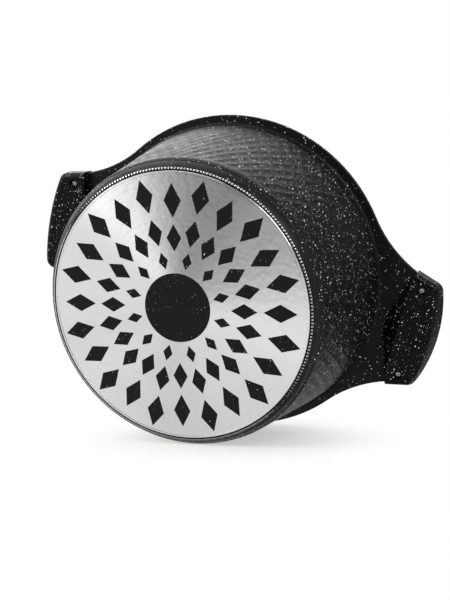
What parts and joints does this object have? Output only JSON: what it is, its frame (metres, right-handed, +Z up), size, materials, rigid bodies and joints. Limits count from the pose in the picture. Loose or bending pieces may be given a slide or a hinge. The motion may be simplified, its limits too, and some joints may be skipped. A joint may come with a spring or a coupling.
{
  "type": "lidded pot",
  "caption": "Round cast casserole with two side grips, a perforated steel induction base and a domed glass lid with a knob.",
  "frame": {"origin": "centre of the underside of the base", "axes": "+Z up from the base to the lid, +X out along one side grip, so the two grips lie on the X axis"},
  "size_m": [0.3236, 0.2418, 0.1699],
  "materials": {
    "stone_coating": "speckled non-stick coating",
    "turned_steel": "lathe-turned",
    "moulded_phenolic": "speckled satin",
    "zinc_screw": "zinc-plated",
    "insert_brass": "turned",
    "polished_steel": "polished",
    "tempered_glass": "clear",
    "silicone_rubber": "matte"
  },
  "bodies": {
    "pot": {"pot_body": "stone_coating", "induction_plate": "turned_steel", "grip_right": "moulded_phenolic", "grip_left": "moulded_phenolic", "grip_screws_right": "zinc_screw", "grip_screws_left": "zinc_screw", "grip_inserts_right": "insert_brass", "grip_inserts_left": "insert_brass"},
    "lid": {"lid_rim_band": "polished_steel", "lid_glass": "tempered_glass", "lid_vent_eyelet": "polished_steel", "lid_seal": "silicone_rubber", "lid_washer": "polished_steel", "lid_collar": "polished_steel", "lid_knob": "moulded_phenolic", "lid_knob_insert": "insert_brass", "lid_knob_screw": "zinc_screw"}
  },
  "joints": [
    {"name": "lid_lift", "type": "slide", "parent": "pot", "child": "lid", "axis": [0, 0, 1], "range_m": [0, 0.1]}
  ]
}
